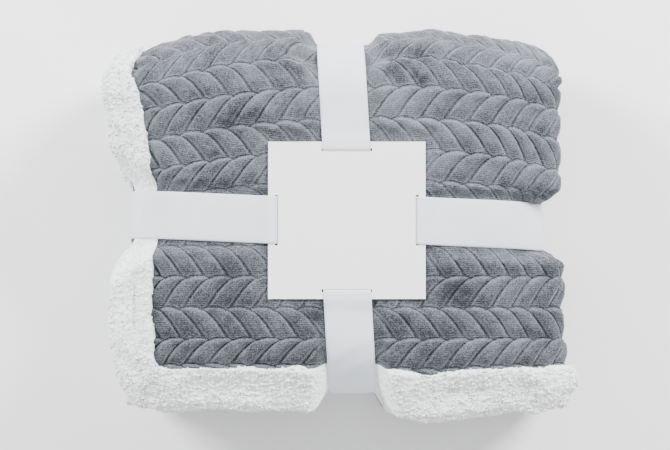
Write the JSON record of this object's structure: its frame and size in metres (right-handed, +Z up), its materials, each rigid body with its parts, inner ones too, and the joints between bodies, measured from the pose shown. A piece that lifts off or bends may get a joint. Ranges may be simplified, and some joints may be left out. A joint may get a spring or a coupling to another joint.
{
  "type": "folded throw blanket",
  "caption": "Folded plush throw with a fluffy backing and turned hems, tied both ways with flat ribbons threaded through a blank card.",
  "frame": {"origin": "on the surface that the pack lies on, below the middle of its box", "axes": "+X runs along the long side, away from the side with the open hems; +Y runs away from the front hem, towards the big fold; +Z is up, through the card"},
  "size_m": [0.3792, 0.3148, 0.111],
  "materials": {
    "embossed_plush": "soft blue-grey plush, embossed in rows of slanting leaves",
    "sherpa_pile": "curly off-white sherpa pile",
    "sewing_thread": "matt spun polyester thread",
    "satin_ribbon": "white satin with woven edges, slightly see-through",
    "clear_tape": "thin double-sided tape",
    "white_card": "smooth uncoated white board",
    "label_tape": "smooth woven label tape, blank"
  },
  "bodies": {
    "root": {"plush_face": "embossed_plush", "sherpa_backing": "sherpa_pile", "side_hem_stitching": "sewing_thread", "front_hem_stitching": "sewing_thread", "corner_stitching": "sewing_thread", "cross_ribbon": "satin_ribbon", "long_ribbon": "satin_ribbon", "cross_ribbon_tape": "clear_tape", "long_ribbon_tape": "clear_tape", "insert_card": "white_card", "care_label_tab": "label_tape", "care_label": "label_tape"}
  },
  "joints": []
}
